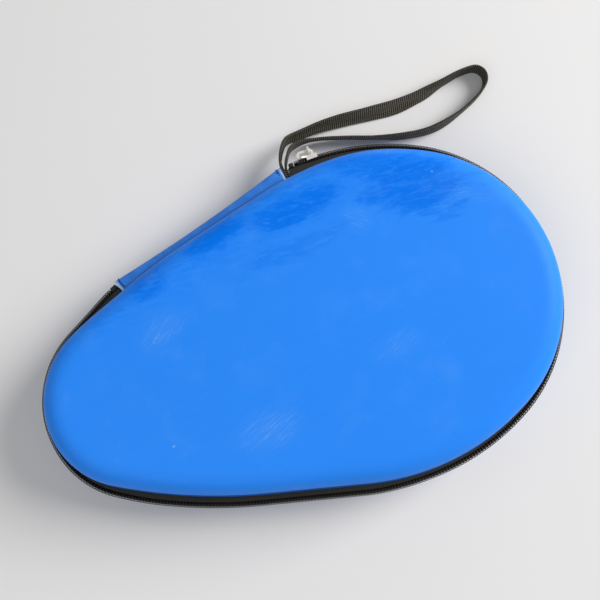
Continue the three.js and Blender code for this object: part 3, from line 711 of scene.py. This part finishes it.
def shell(name, depths, crown, side, finish, spacing, wavy=0.0, lip=False):
    """A dish between two depths of a half-shell's wall. side is 1 for the lid and -1 for the base."""
    rim = stations(0, 2 * HALF_LENGTH, spacing)[:-1]
    count = len(rim)
    top_rings, steps = 20, 22

    def face(depth):
        rings = []
        for k in range(1, top_rings):
            s = k / top_rings
            up = HALF_DEPTH - depth + crown * (1 - s * s) ** 2
            edge = [at.place(-SHOULDER, up) for at in rim]
            rings.append([Vector((s * p.x, s * p.y, up)) for p in edge])
        return rings + shoulder_rings(rim, depth, steps)

    outer_depth, inner_depth = depths
    outer, inner = face(outer_depth), face(inner_depth)
    edge = []
    if lip:
        outer.pop()
        for out, up in LIP_SECTION:
            edge.append([at.place(out, RIM + up) for at in rim])
    rings = outer + edge + inner[::-1]
    points = [Vector((0, 0, HALF_DEPTH - outer_depth + crown))] + [p for ring in rings for p in ring]
    points.append(Vector((0, 0, HALF_DEPTH - inner_depth + crown)))
    for p in points:
        if wavy:
            top = smooth(p.z, RIM + 4, HALF_DEPTH - 1)
            p.z += wavy * top * noise.noise(Vector((p.x / WAVE_LONG, p.y / WAVE_WIDE, side * 7.0)))
        p.z *= side
    faces = []
    for i in range(count):
        j = (i + 1) % count
        faces.append((0, 1 + i, 1 + j))
        for r in range(len(rings) - 1):
            a, b = 1 + r * count, 1 + (r + 1) * count
            faces.append((a + i, b + i, b + j, a + j))
        last = 1 + (len(rings) - 1) * count
        faces.append((last + i, len(points) - 1, last + j))
    piece = make_object(name, points, faces, None, [finish])
    outward(piece)
    return piece


# The folded rim tape's middle line, out from the rim and up from the zip plane.
BINDING_LINE = [(-1.3, 5.2), (-4, 5.2), (-5.9, 5.25), (-6.55, 6), (-6.68, 7.8), (-6.75, 9.8)]
BINDING_THICKNESS = 0.85
# The two seams of the rim tape, on its leg.
BINDING_SEAMS = [(-7.35, 9.2), (-7.2, 7.0)]


def rim_binding(name, side):
    """A folded ribbed tape: a flange under the wall's layers and a leg up the lining."""
    section = thicken([tuple(p) for p in curve_points(BINDING_LINE, 4)], BINDING_THICKNESS)
    rim = stations(0, 2 * HALF_LENGTH, 2.5)[:-1]
    rings = [[at.place(out, side * up) for out, up in section] for at in rim]
    return loft(name, rings, closed=True, materials=[BINDING_TAPE])


# A stitch's start and span as shares of the pitch, and how far it sinks as a share of the thread.
STITCH_FROM, STITCH_SHARE, STITCH_SUNK = 0.12, 0.76, 0.4


def stitch_row(name, path, pitch, radius, lift, finish):
    """Stitches along a path: each dips at its ends. lift is the vector that they stand along."""
    marks = lengths_along(path)
    rows = []

    def at(distance):
        i = min(max(bisect.bisect_right(marks, distance) - 1, 0), len(path) - 2)
        share = (distance - marks[i]) / max(marks[i + 1] - marks[i], 1e-9)
        return path[i].lerp(path[i + 1], share)

    for n in range(int(marks[-1] / pitch)):
        points = []
        for k in range(6):
            share = k / 5
            rise = math.sin(math.pi * share) ** 0.6 if 0 < share < 1 else 0.0
            distance = (n + STITCH_FROM + STITCH_SHARE * share) * pitch
            points.append(at(distance) + lift * (rise - STITCH_SUNK) * 2 * radius)
        rows.append(tube(f"{name}_{n}", points, radius, 5, [finish]))
    return join(name, rows)


EDGE_THINNED = 0.45  # a sheet's thickness at its long edges, as a share of the rest


def sheet_mesh(name, rows, thickness, materials, end_slot=0):
    """A sheet about a grid of points, rows along its length. UV runs along, then across."""
    n_rows, n_cols = len(rows), len(rows[0])
    half = thickness / 2
    points, uvs, along = [], [], 0.0
    for side in (1, -1):
        for r in range(n_rows):
            if r == 0:
                along = 0.0
            else:
                along += (rows[r][n_cols // 2] - rows[r - 1][n_cols // 2]).length
            across = 0.0
            for c in range(n_cols):
                du = rows[min(r + 1, n_rows - 1)][c] - rows[max(r - 1, 0)][c]
                dv = rows[r][min(c + 1, n_cols - 1)] - rows[r][max(c - 1, 0)]
                normal = du.cross(dv).normalized()
                if c:
                    across += (rows[r][c] - rows[r][c - 1]).length
                full = EDGE_THINNED if c in (0, n_cols - 1) else 1.0
                points.append(rows[r][c] + side * half * full * normal)
                uvs.append((along, across))
    faces, slots = [], []
    under = n_rows * n_cols

    def quad(a, b, c, d, slot=0):
        faces.append((a, b, c, d))
        slots.append(slot)

    for r in range(n_rows - 1):
        slot = end_slot if r in (0, n_rows - 2) else 0
        for c in range(n_cols - 1):
            a = r * n_cols + c
            quad(a, a + n_cols, a + n_cols + 1, a + 1, slot)
            quad(under + a, under + a + 1, under + a + n_cols + 1, under + a + n_cols, slot)
        for c in (0, n_cols - 1):
            a = r * n_cols + c
            corners = (a, a + n_cols, under + a + n_cols, under + a)
            quad(*(corners[::-1] if c == 0 else corners))
    for r in (0, n_rows - 1):
        for c in range(n_cols - 1):
            a = r * n_cols + c
            corners = (a, a + 1, under + a + 1, under + a)
            quad(*(corners if r == 0 else corners[::-1]), slot=end_slot)
    piece = make_object(name, points, faces, uvs, materials, slots)
    outward(piece)
    crisp(piece, 40)
    return piece


def flat_size(rows):
    """Width and length of a grid of points laid flat, in metres."""
    middle = rows[len(rows) // 2]
    width = sum((b - a).length for a, b in zip(middle, middle[1:]))
    line = [row[len(row) // 2] for row in rows]
    return width * MM, sum((b - a).length for a, b in zip(line, line[1:])) * MM


TAPE_INNER_EDGE = -4.6
COIL_FROM, COIL_TO = ZIP_FAR_END + 5, ZIP_CLOSED_END - 4.5


def zip_tape_rows(side):
    """A zip tape's rows across: flat in the seam, then bent down to the half-chain."""
    rows = []
    for at in stations(ZIP_FAR_END, ZIP_CLOSED_END, 1.8):
        stand = zip_stand(at) - COIL_HALF_THICKNESS - GAP - TAPE / 2
        lift = zip_parting(at) - CHAIN_GAP
        bend = SEAM_EDGE + 0.8 * (stand - SEAM_EDGE)
        corners = [
            (TAPE_INNER_EDGE, ZIP_SEAM_Z),
            (SEAM_EDGE, ZIP_SEAM_Z),
            (bend, ZIP_SEAM_Z - 0.4 + 0.2 * lift),
            (stand, 2.3 + 0.7 * lift),
            (stand, 0.4 + lift),
        ]
        rows.append([at.place(p.x, side * p.y) for p in curve_points(corners, 4)])
    return rows


def zip_coil(name, side):
    """Half the chain: a wound filament whose turns reach across the middle, between the other half's."""
    wire, steps, reach_over = 0.33, 10, 0.45
    turns = int((COIL_TO - COIL_FROM) / COIL_PITCH)
    path = []
    for i in range(turns * steps):
        angle = 2 * math.pi * i / steps
        at = Station(COIL_FROM + COIL_PITCH * (i / steps + (0.5 if side < 0 else 0.0)))
        low = zip_parting(at) - reach_over + wire
        high = zip_parting(at) + COIL_HALF_WIDTH - wire
        swing = math.copysign(abs(math.sin(angle)) ** 0.75, math.sin(angle))
        up = (low + high) / 2 + swing * (high - low) / 2
        out = zip_stand(at) + (COIL_HALF_THICKNESS - wire) * math.cos(angle)
        path.append(at.place(out, side * up))
    return tube(name, path, wire, 6, [COIL_BLACK])


def filler_cord(name, side):
    """The cord that fills a half-chain's coil and swells between its turns."""
    thick, low, high = 0.85, 0.1, 2.5
    rings = []
    for at in stations(COIL_FROM - 0.6, COIL_TO, 2.0):
        turns = [2 * math.pi * k / 8 for k in range(8)]
        middle, half = zip_parting(at) + (low + high) / 2, (high - low) / 2
        section = [(thick * math.cos(t), middle + half * math.sin(t)) for t in turns]
        rings.append([at.place(zip_stand(at) + out, side * up) for out, up in section])
    return loft(name, rings, materials=[CORE_BLACK])


def chain_threads(name, side):
    """The rows of thread that hold a half-chain to its tape, over one turn and down between the next two."""
    rows = []
    over, between, thread = 0.16, -0.08, 0.17
    for row, height in enumerate((1.55, 2.45)):
        path = []
        for i, at in enumerate(stations(COIL_FROM, COIL_TO, COIL_PITCH / 2)):
            out = zip_stand(at) + COIL_HALF_THICKNESS + (over if i % 2 else between)
            path.append(at.place(out, side * (zip_parting(at) + height)))
        rows.append(tube(f"{name}_{row}", path, thread, 4, [THREAD_BLACK]))
    return join(name, rows)


def stop_block(name, start, end, section):
    """A moulded block along the zip, of a section given at each station."""
    rings = [section(at) for at in stations(start, end, 1.3)]
    piece = loft(name, rings, materials=[STOP_BLACK], sharp=30)
    bevel(piece, 0.3)
    return piece


# The stops' sections: out from the chain's middle, and up from the half-chain's edge or the zip plane.
END_STOP_SECTION = ((-1.1, 0), (1.3, 0), (1.3, 2.9), (-1.1, 2.9))
BOTTOM_STOP_SECTION = ((-1.1, -3), (1.1, -3), (1.6, -2.4), (1.6, 2.4), (1.1, 3), (-1.1, 3))


def end_stop(name, side):
    def section(at):
        stand, low = zip_stand(at), zip_parting(at)
        return [at.place(stand + out, side * (low + up)) for out, up in END_STOP_SECTION]

    return stop_block(name, ZIP_CLOSED_END - 3.9, ZIP_CLOSED_END - 1.3, section)


def bottom_stop():
    def section(at):
        return [at.place(zip_stand(at) + out, up) for out, up in BOTTOM_STOP_SECTION]

    return stop_block("bottom_stop", ZIP_FAR_END + 0.6, ZIP_FAR_END + 4.3, section)


def build_half(prefix, body, side, crown):
    """Everything that one half of the case carries. side is 1 for the lid and -1 for the base."""
    waves = 0.16 if crown else 0.1
    cover = shell(f"{prefix}_skin", (0, SKIN), crown, side, SKIN_BLUE, 2.0, wavy=waves, lip=True)
    stands_for(cover, body, "blue_skin", f"{prefix}_cover")
    foam = shell(f"{prefix}_foam", (FOAM_DEPTH, FOAM_DEPTH + FOAM), crown, side, FOAM_BLACK, 4.0)
    stands_for(foam, body, "foam", f"{prefix}_foam_shell")
    lining = shell(f"{prefix}_knit", (LINING_DEPTH, WALL), crown, side, KNIT_GREY, 3.0, wavy=0.12)
    stands_for(lining, body, "lining", f"{prefix}_lining")
    binding = rim_binding(f"{prefix}_binding", side)
    stands_for(binding, body, "binding_tape", f"{prefix}_rim_binding")
    for row, (out, up) in enumerate(BINDING_SEAMS):
        path = [at.place(out, side * up) for at in stations(0, 2 * HALF_LENGTH, 3.0)]
        lift = Vector((0, 0, side)) * 0.2
        seam = stitch_row(f"{prefix}_binding_seam_{row}", path, 4.2, 0.19, lift, THREAD_BLACK)
        sewn_on(seam, body)
    rows = zip_tape_rows(side)
    tape = sheet_mesh(f"{prefix}_tape", rows, TAPE, [ZIP_TAPE])
    stands_for(tape, body, "zip_tape", f"{prefix}_zip_tape")
    flat_size(rows)
    coil = zip_coil(f"{prefix}_coil", side)
    stands_for(coil, body, "zip_coil", f"{prefix}_zip_coil")
    sewn_on(filler_cord(f"{prefix}_filler_cord", side), body)
    sewn_on(chain_threads(f"{prefix}_chain_threads", side), body)
    stands_for(end_stop(f"{prefix}_stop", side), body, "zip_stop", f"{prefix}_end_stop")


build_half("lower", "base", -1, 0.0)
build_half("upper", "lid", 1, CROWN)
stands_for(bottom_stop(), "base", "zip_stop", "zip_bottom_stop")


# ------------------------------------------------------------------ hinge strip
def strip_rows():
    """The hinge strip's rows across: from the lower seam, out round the fold and back to the upper seam."""
    rows = []
    for at in stations(STRIP_FROM, STRIP_TO, 1.2):
        across = 2 * (at.length - STRIP_FROM) / (STRIP_TO - STRIP_FROM) - 1
        outer = STRIP_STAND + STRIP_FLARE * across**2
        away = FLANK_LINE + outer - STRIP_THICKNESS / 2 - at.point.dot(direction(HINGE_NORMAL))
        face = away / at.normal.dot(direction(HINGE_NORMAL))
        buckle = 0.35 * noise.noise(Vector((at.length / 14, 3.0, 0)))
        half = [
            (STRIP_INNER_EDGE, ZIP_SEAM_Z),
            (SEAM_EDGE, ZIP_SEAM_Z),
            (face - 1.6, ZIP_SEAM_Z - 0.3),
            (face - 0.4, 2.4),
        ]
        corners = half + [(face - 0.1 + 0.3 * buckle, 0)] + [(out, -up) for out, up in half[::-1]]
        rows.append([at.place(p.x, p.y) for p in curve_points(corners, 4)])
    return rows


def hinge_strip():
    """The strip and the seam across each of its ends."""
    rows = strip_rows()
    piece = sheet_mesh("strip", rows, STRIP_THICKNESS, [STRIP_BLUE, CUT_EDGE], end_slot=1)
    flat_size(rows)
    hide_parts("hinge_strip")
    pieces = [piece]
    stand = STRIP_THICKNESS / 2 + 0.05
    for end, row_number in (("blade", 2), ("handle", len(rows) - 3)):
        line = rows[row_number]
        face = [p + stand * outward_of(rows, row_number, c) for c, p in enumerate(line)]
        lift = outward_of(rows, row_number, len(line) // 4)
        pieces.append(stitch_row(f"strip_seam_{end}", face[5:-5], 1.9, 0.26, lift, THREAD_NAVY))
    return pieces


def outward_of(rows, r, c):
    """The way the outer face of a grid of points faces at one of them, away from the case's middle."""
    du = rows[min(r + 1, len(rows) - 1)][c] - rows[max(r - 1, 0)][c]
    dv = rows[r][min(c + 1, len(rows[r]) - 1)] - rows[r][max(c - 1, 0)]
    normal = du.cross(dv).normalized()
    return normal if normal.y > 0 or (abs(normal.y) < 0.1 and rows[r][c].z * normal.z > 0) else -normal


for piece in hinge_strip():
    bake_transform(piece)


# ------------------------------------------------------------------ wrist strap
SLOT_MIDDLE = STRIP_FROM - SLOT / 2
ON_EDGE = WEBBING / 2 + 0.1


def slot_leg(step, out, up):
    return Station(SLOT_MIDDLE + step).place(out, up)


def on_table(x, y, height=ON_EDGE):
    return Vector((x, y, height - HALF_DEPTH))


STRAP_ROUTE = [
    slot_leg(0.85, 0.5, 0),
    slot_leg(0.55, 8.5, -0.5),
    slot_leg(-0.8, 15.5, -3.5),
    on_table(25.6, 110.6, 17),
    on_table(30.8, 117.4, 12),
    on_table(40.1, 119.7, 8.6),
    on_table(53.4, 121.5, 6.3),
    on_table(68.2, 121.5, 5.4),
    on_table(87.7, 119.9),
    on_table(107.6, 118.8),
    on_table(125.2, 120.6),
    on_table(140.2, 123.8),
    on_table(152.6, 125.8),
    on_table(161.2, 124.9),
    on_table(164.8, 120.3),
    on_table(163.8, 114.5),
    on_table(158.1, 109),
    on_table(146.1, 103),
    on_table(133.5, 98.7),
    on_table(119.1, 96.6),
    on_table(103, 98.5),
    on_table(84.9, 103.8),
    on_table(67.2, 109.9, 5.4),
    on_table(50.7, 114.1, 7),
    on_table(39.5, 114.4, 10),
    on_table(31.4, 110.9, 14.5),
    on_table(26.4, 103.6, 19.5),
    slot_leg(-1.1, 8.5, -0.8),
    slot_leg(-0.85, 0.5, 0),
]
# How far the webbing's top edge leans out of the loop, in degrees, at distances along it: out, then back.
STRAP_LEAN = [(0, 0), (30, 2), (48, 12), (80, 30), (108, 42), (128, 26), (146, 2), (160, -4)]
STRAP_LEAN += [(172, -6), (186, 2), (204, 4), (222, -5), (242, 2), (268, 15), (302, 16), (318, 4), (345, 0)]


def lean_at(distance):
    for (a, low), (b, high) in zip(STRAP_LEAN, STRAP_LEAN[1:]):
        if distance <= b:
            return math.radians(low + (high - low) * smooth(distance, a, b))
    return math.radians(STRAP_LEAN[-1][1])


def even_path(points, spacing):
    """The same line with points evenly apart."""
    marks = lengths_along(points)
    count = round(marks[-1] / spacing)
    path, i = [], 0
    for n in range(count + 1):
        distance = marks[-1] * n / count
        while i < len(points) - 2 and marks[i + 1] < distance:
            i += 1
        share = (distance - marks[i]) / (marks[i + 1] - marks[i])
        path.append(points[i].lerp(points[i + 1], share))
    return path, marks[-1]


def wrist_strap():
    path, length = even_path(curve_points(STRAP_ROUTE, 16), 1.3)
    up, half, hollow = Vector((0, 0, 1)), WEBBING / 2, 0.25
    across = (-1, -0.93, -0.8, -0.5, 0, 0.5, 0.8, 0.93, 1)
    rows = []
    for i, centre in enumerate(path):
        distance = length * i / (len(path) - 1)
        run = path[min(i + 1, len(path) - 1)] - path[max(i - 1, 0)]
        run.z = 0
        outside = up.cross(run.normalized())
        lean = lean_at(distance)
        width = up * math.cos(lean) + outside * math.sin(lean)
        settle = Vector((0, 0, -half * (1 - math.cos(lean))))
        cup = outside * math.cos(lean) - up * math.sin(lean)
        rows.append([centre + settle + width * half * a + cup * hollow * (1 - a * a) for a in across])
    piece = sheet_mesh("strap", rows, WEBBING_THICKNESS, [WEBBING_BLACK])
    stands_for(piece, "base", "webbing", "wrist_strap")
    line = [(p - ORIGIN) * MM for p in path]
    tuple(line[0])


wrist_strap()


# ------------------------------------------------------------------ inside of the base
def retaining_band():
    """The elastic band, flat on its two patches and arched between them, with a crossed seam on each."""
    patch_top, steps = WALL + GAP + PATCH_HEIGHT, 60
    across = [BAND_X + BAND_WIDTH * (k / 8 - 0.5) for k in range(9)]
    rows = []
    for i in range(steps + 1):
        y = BAND_REACH * (2 * i / steps - 1)
        swell = max(0.0, 1 - (y / (BAND_REACH - BAND_FOOT)) ** 2)
        height = patch_top + BAND_THICKNESS / 2 + BAND_RISE * swell * swell * (2 - swell)
        rows.append([Vector((x, y, height - HALF_DEPTH)) for x in across])
    piece = sheet_mesh("band", rows, BAND_THICKNESS, [ELASTIC_BLACK])
    stands_for(piece, "base", "elastic", "retaining_band")
    flat_size(rows)
    surface = patch_top + BAND_THICKNESS + 0.08 - HALF_DEPTH
    lift, inset = Vector((0, 0, 1)), 2.0
    for side, word in ((1, "hinge_side"), (-1, "zip_side")):
        near, far = side * (BAND_REACH - 7.5), side * (BAND_REACH - 1.5)
        left, right = across[0] + inset, across[-1] - inset
        corners = [(left, near), (right, near), (right, far), (left, far), (left, near), (right, far)]
        path = [Vector((x, y, surface)) for x, y in corners]
        seam = stitch_row(f"band_seam_{word}", path, 2.4, 0.18, lift, THREAD_BLACK)
        sewn_on(seam, "base")


retaining_band()

# CAD pieces shown as they are: finish and the rounding of their edges.
CAD_FINISH = {
    "band_patch_hinge_side": (KNIT_GREY, 0.2),
    "band_patch_zip_side": (KNIT_GREY, 0.2),
    "strap_anchor": (WEBBING_BLACK, 0.3),
    "slider_body": (NICKEL, 0.28),
    "slider_crown": (NICKEL, 0.45),
    "slider_pull": (NICKEL, 0.3),
}
for name, (finish, rounding) in CAD_FINISH.items():
    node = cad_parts[name]
    node.data.materials.clear()
    node.data.materials.append(finish)
    bevel(node, rounding)


# ------------------------------------------------------------------ floor, camera and lights
def floor():
    just_below = -0.0002
    bpy.ops.mesh.primitive_plane_add(size=3.0, location=(0, 0, just_below))
    plane = bpy.context.object
    plane.name = "floor"
    plane.data.materials.append(floor_finish())


def camera():
    """A view from almost straight above, turned so that the handle end is at the lower left."""
    azimuth, elevation, distance = math.radians(-19.9), math.radians(81.5), 0.3537
    aim = (Vector((4.8, 20.3, HALF_DEPTH)) - FOOTPRINT_MIDDLE) * MM
    level = math.cos(elevation)
    back = Vector((math.sin(azimuth) * level, -math.cos(azimuth) * level, math.sin(elevation)))
    data = bpy.data.cameras.new("camera")
    data.sensor_width, data.lens = 36.0, 37.2
    data.clip_start = 0.01
    eye = bpy.data.objects.new("camera", data)
    bpy.context.scene.collection.objects.link(eye)
    eye.location = aim + distance * back
    eye.rotation_mode = "QUATERNION"
    eye.rotation_quaternion = (-back).to_track_quat("-Z", "Y")
    bpy.context.scene.camera = eye


def area_light(name, place, aim, size, watts, tint=(1, 1, 1)):
    """A round soft light."""
    data = bpy.data.lights.new(name, "AREA")
    data.shape = "DISK"
    data.size = size
    data.energy = watts
    data.color = tint
    lamp = bpy.data.objects.new(name, data)
    bpy.context.scene.collection.objects.link(lamp)
    lamp.location = place
    lamp.rotation_mode = "QUATERNION"
    lamp.rotation_quaternion = (Vector(aim) - Vector(place)).to_track_quat("-Z", "Y")


def room_light(strength):
    world = bpy.data.worlds.new("room")
    world.use_nodes = True
    world.node_tree.nodes["Background"].inputs["Color"].default_value = (1, 1, 1, 1)
    world.node_tree.nodes["Background"].inputs["Strength"].default_value = strength
    bpy.context.scene.world = world


floor()
camera()
area_light(
    "window",
    place=(1.95, 0.15, 1.25),
    aim=(0.02, 0.02, 0.02),
    size=1.4,
    watts=57,
    tint=(1.0, 0.98, 0.95),
)
area_light("fill", place=(-0.7, -0.5, 1.1), aim=(0, 0, 0.02), size=1.0, watts=4.5)
room_light(0.27)
bpy.context.scene.view_settings.view_transform = "Standard"
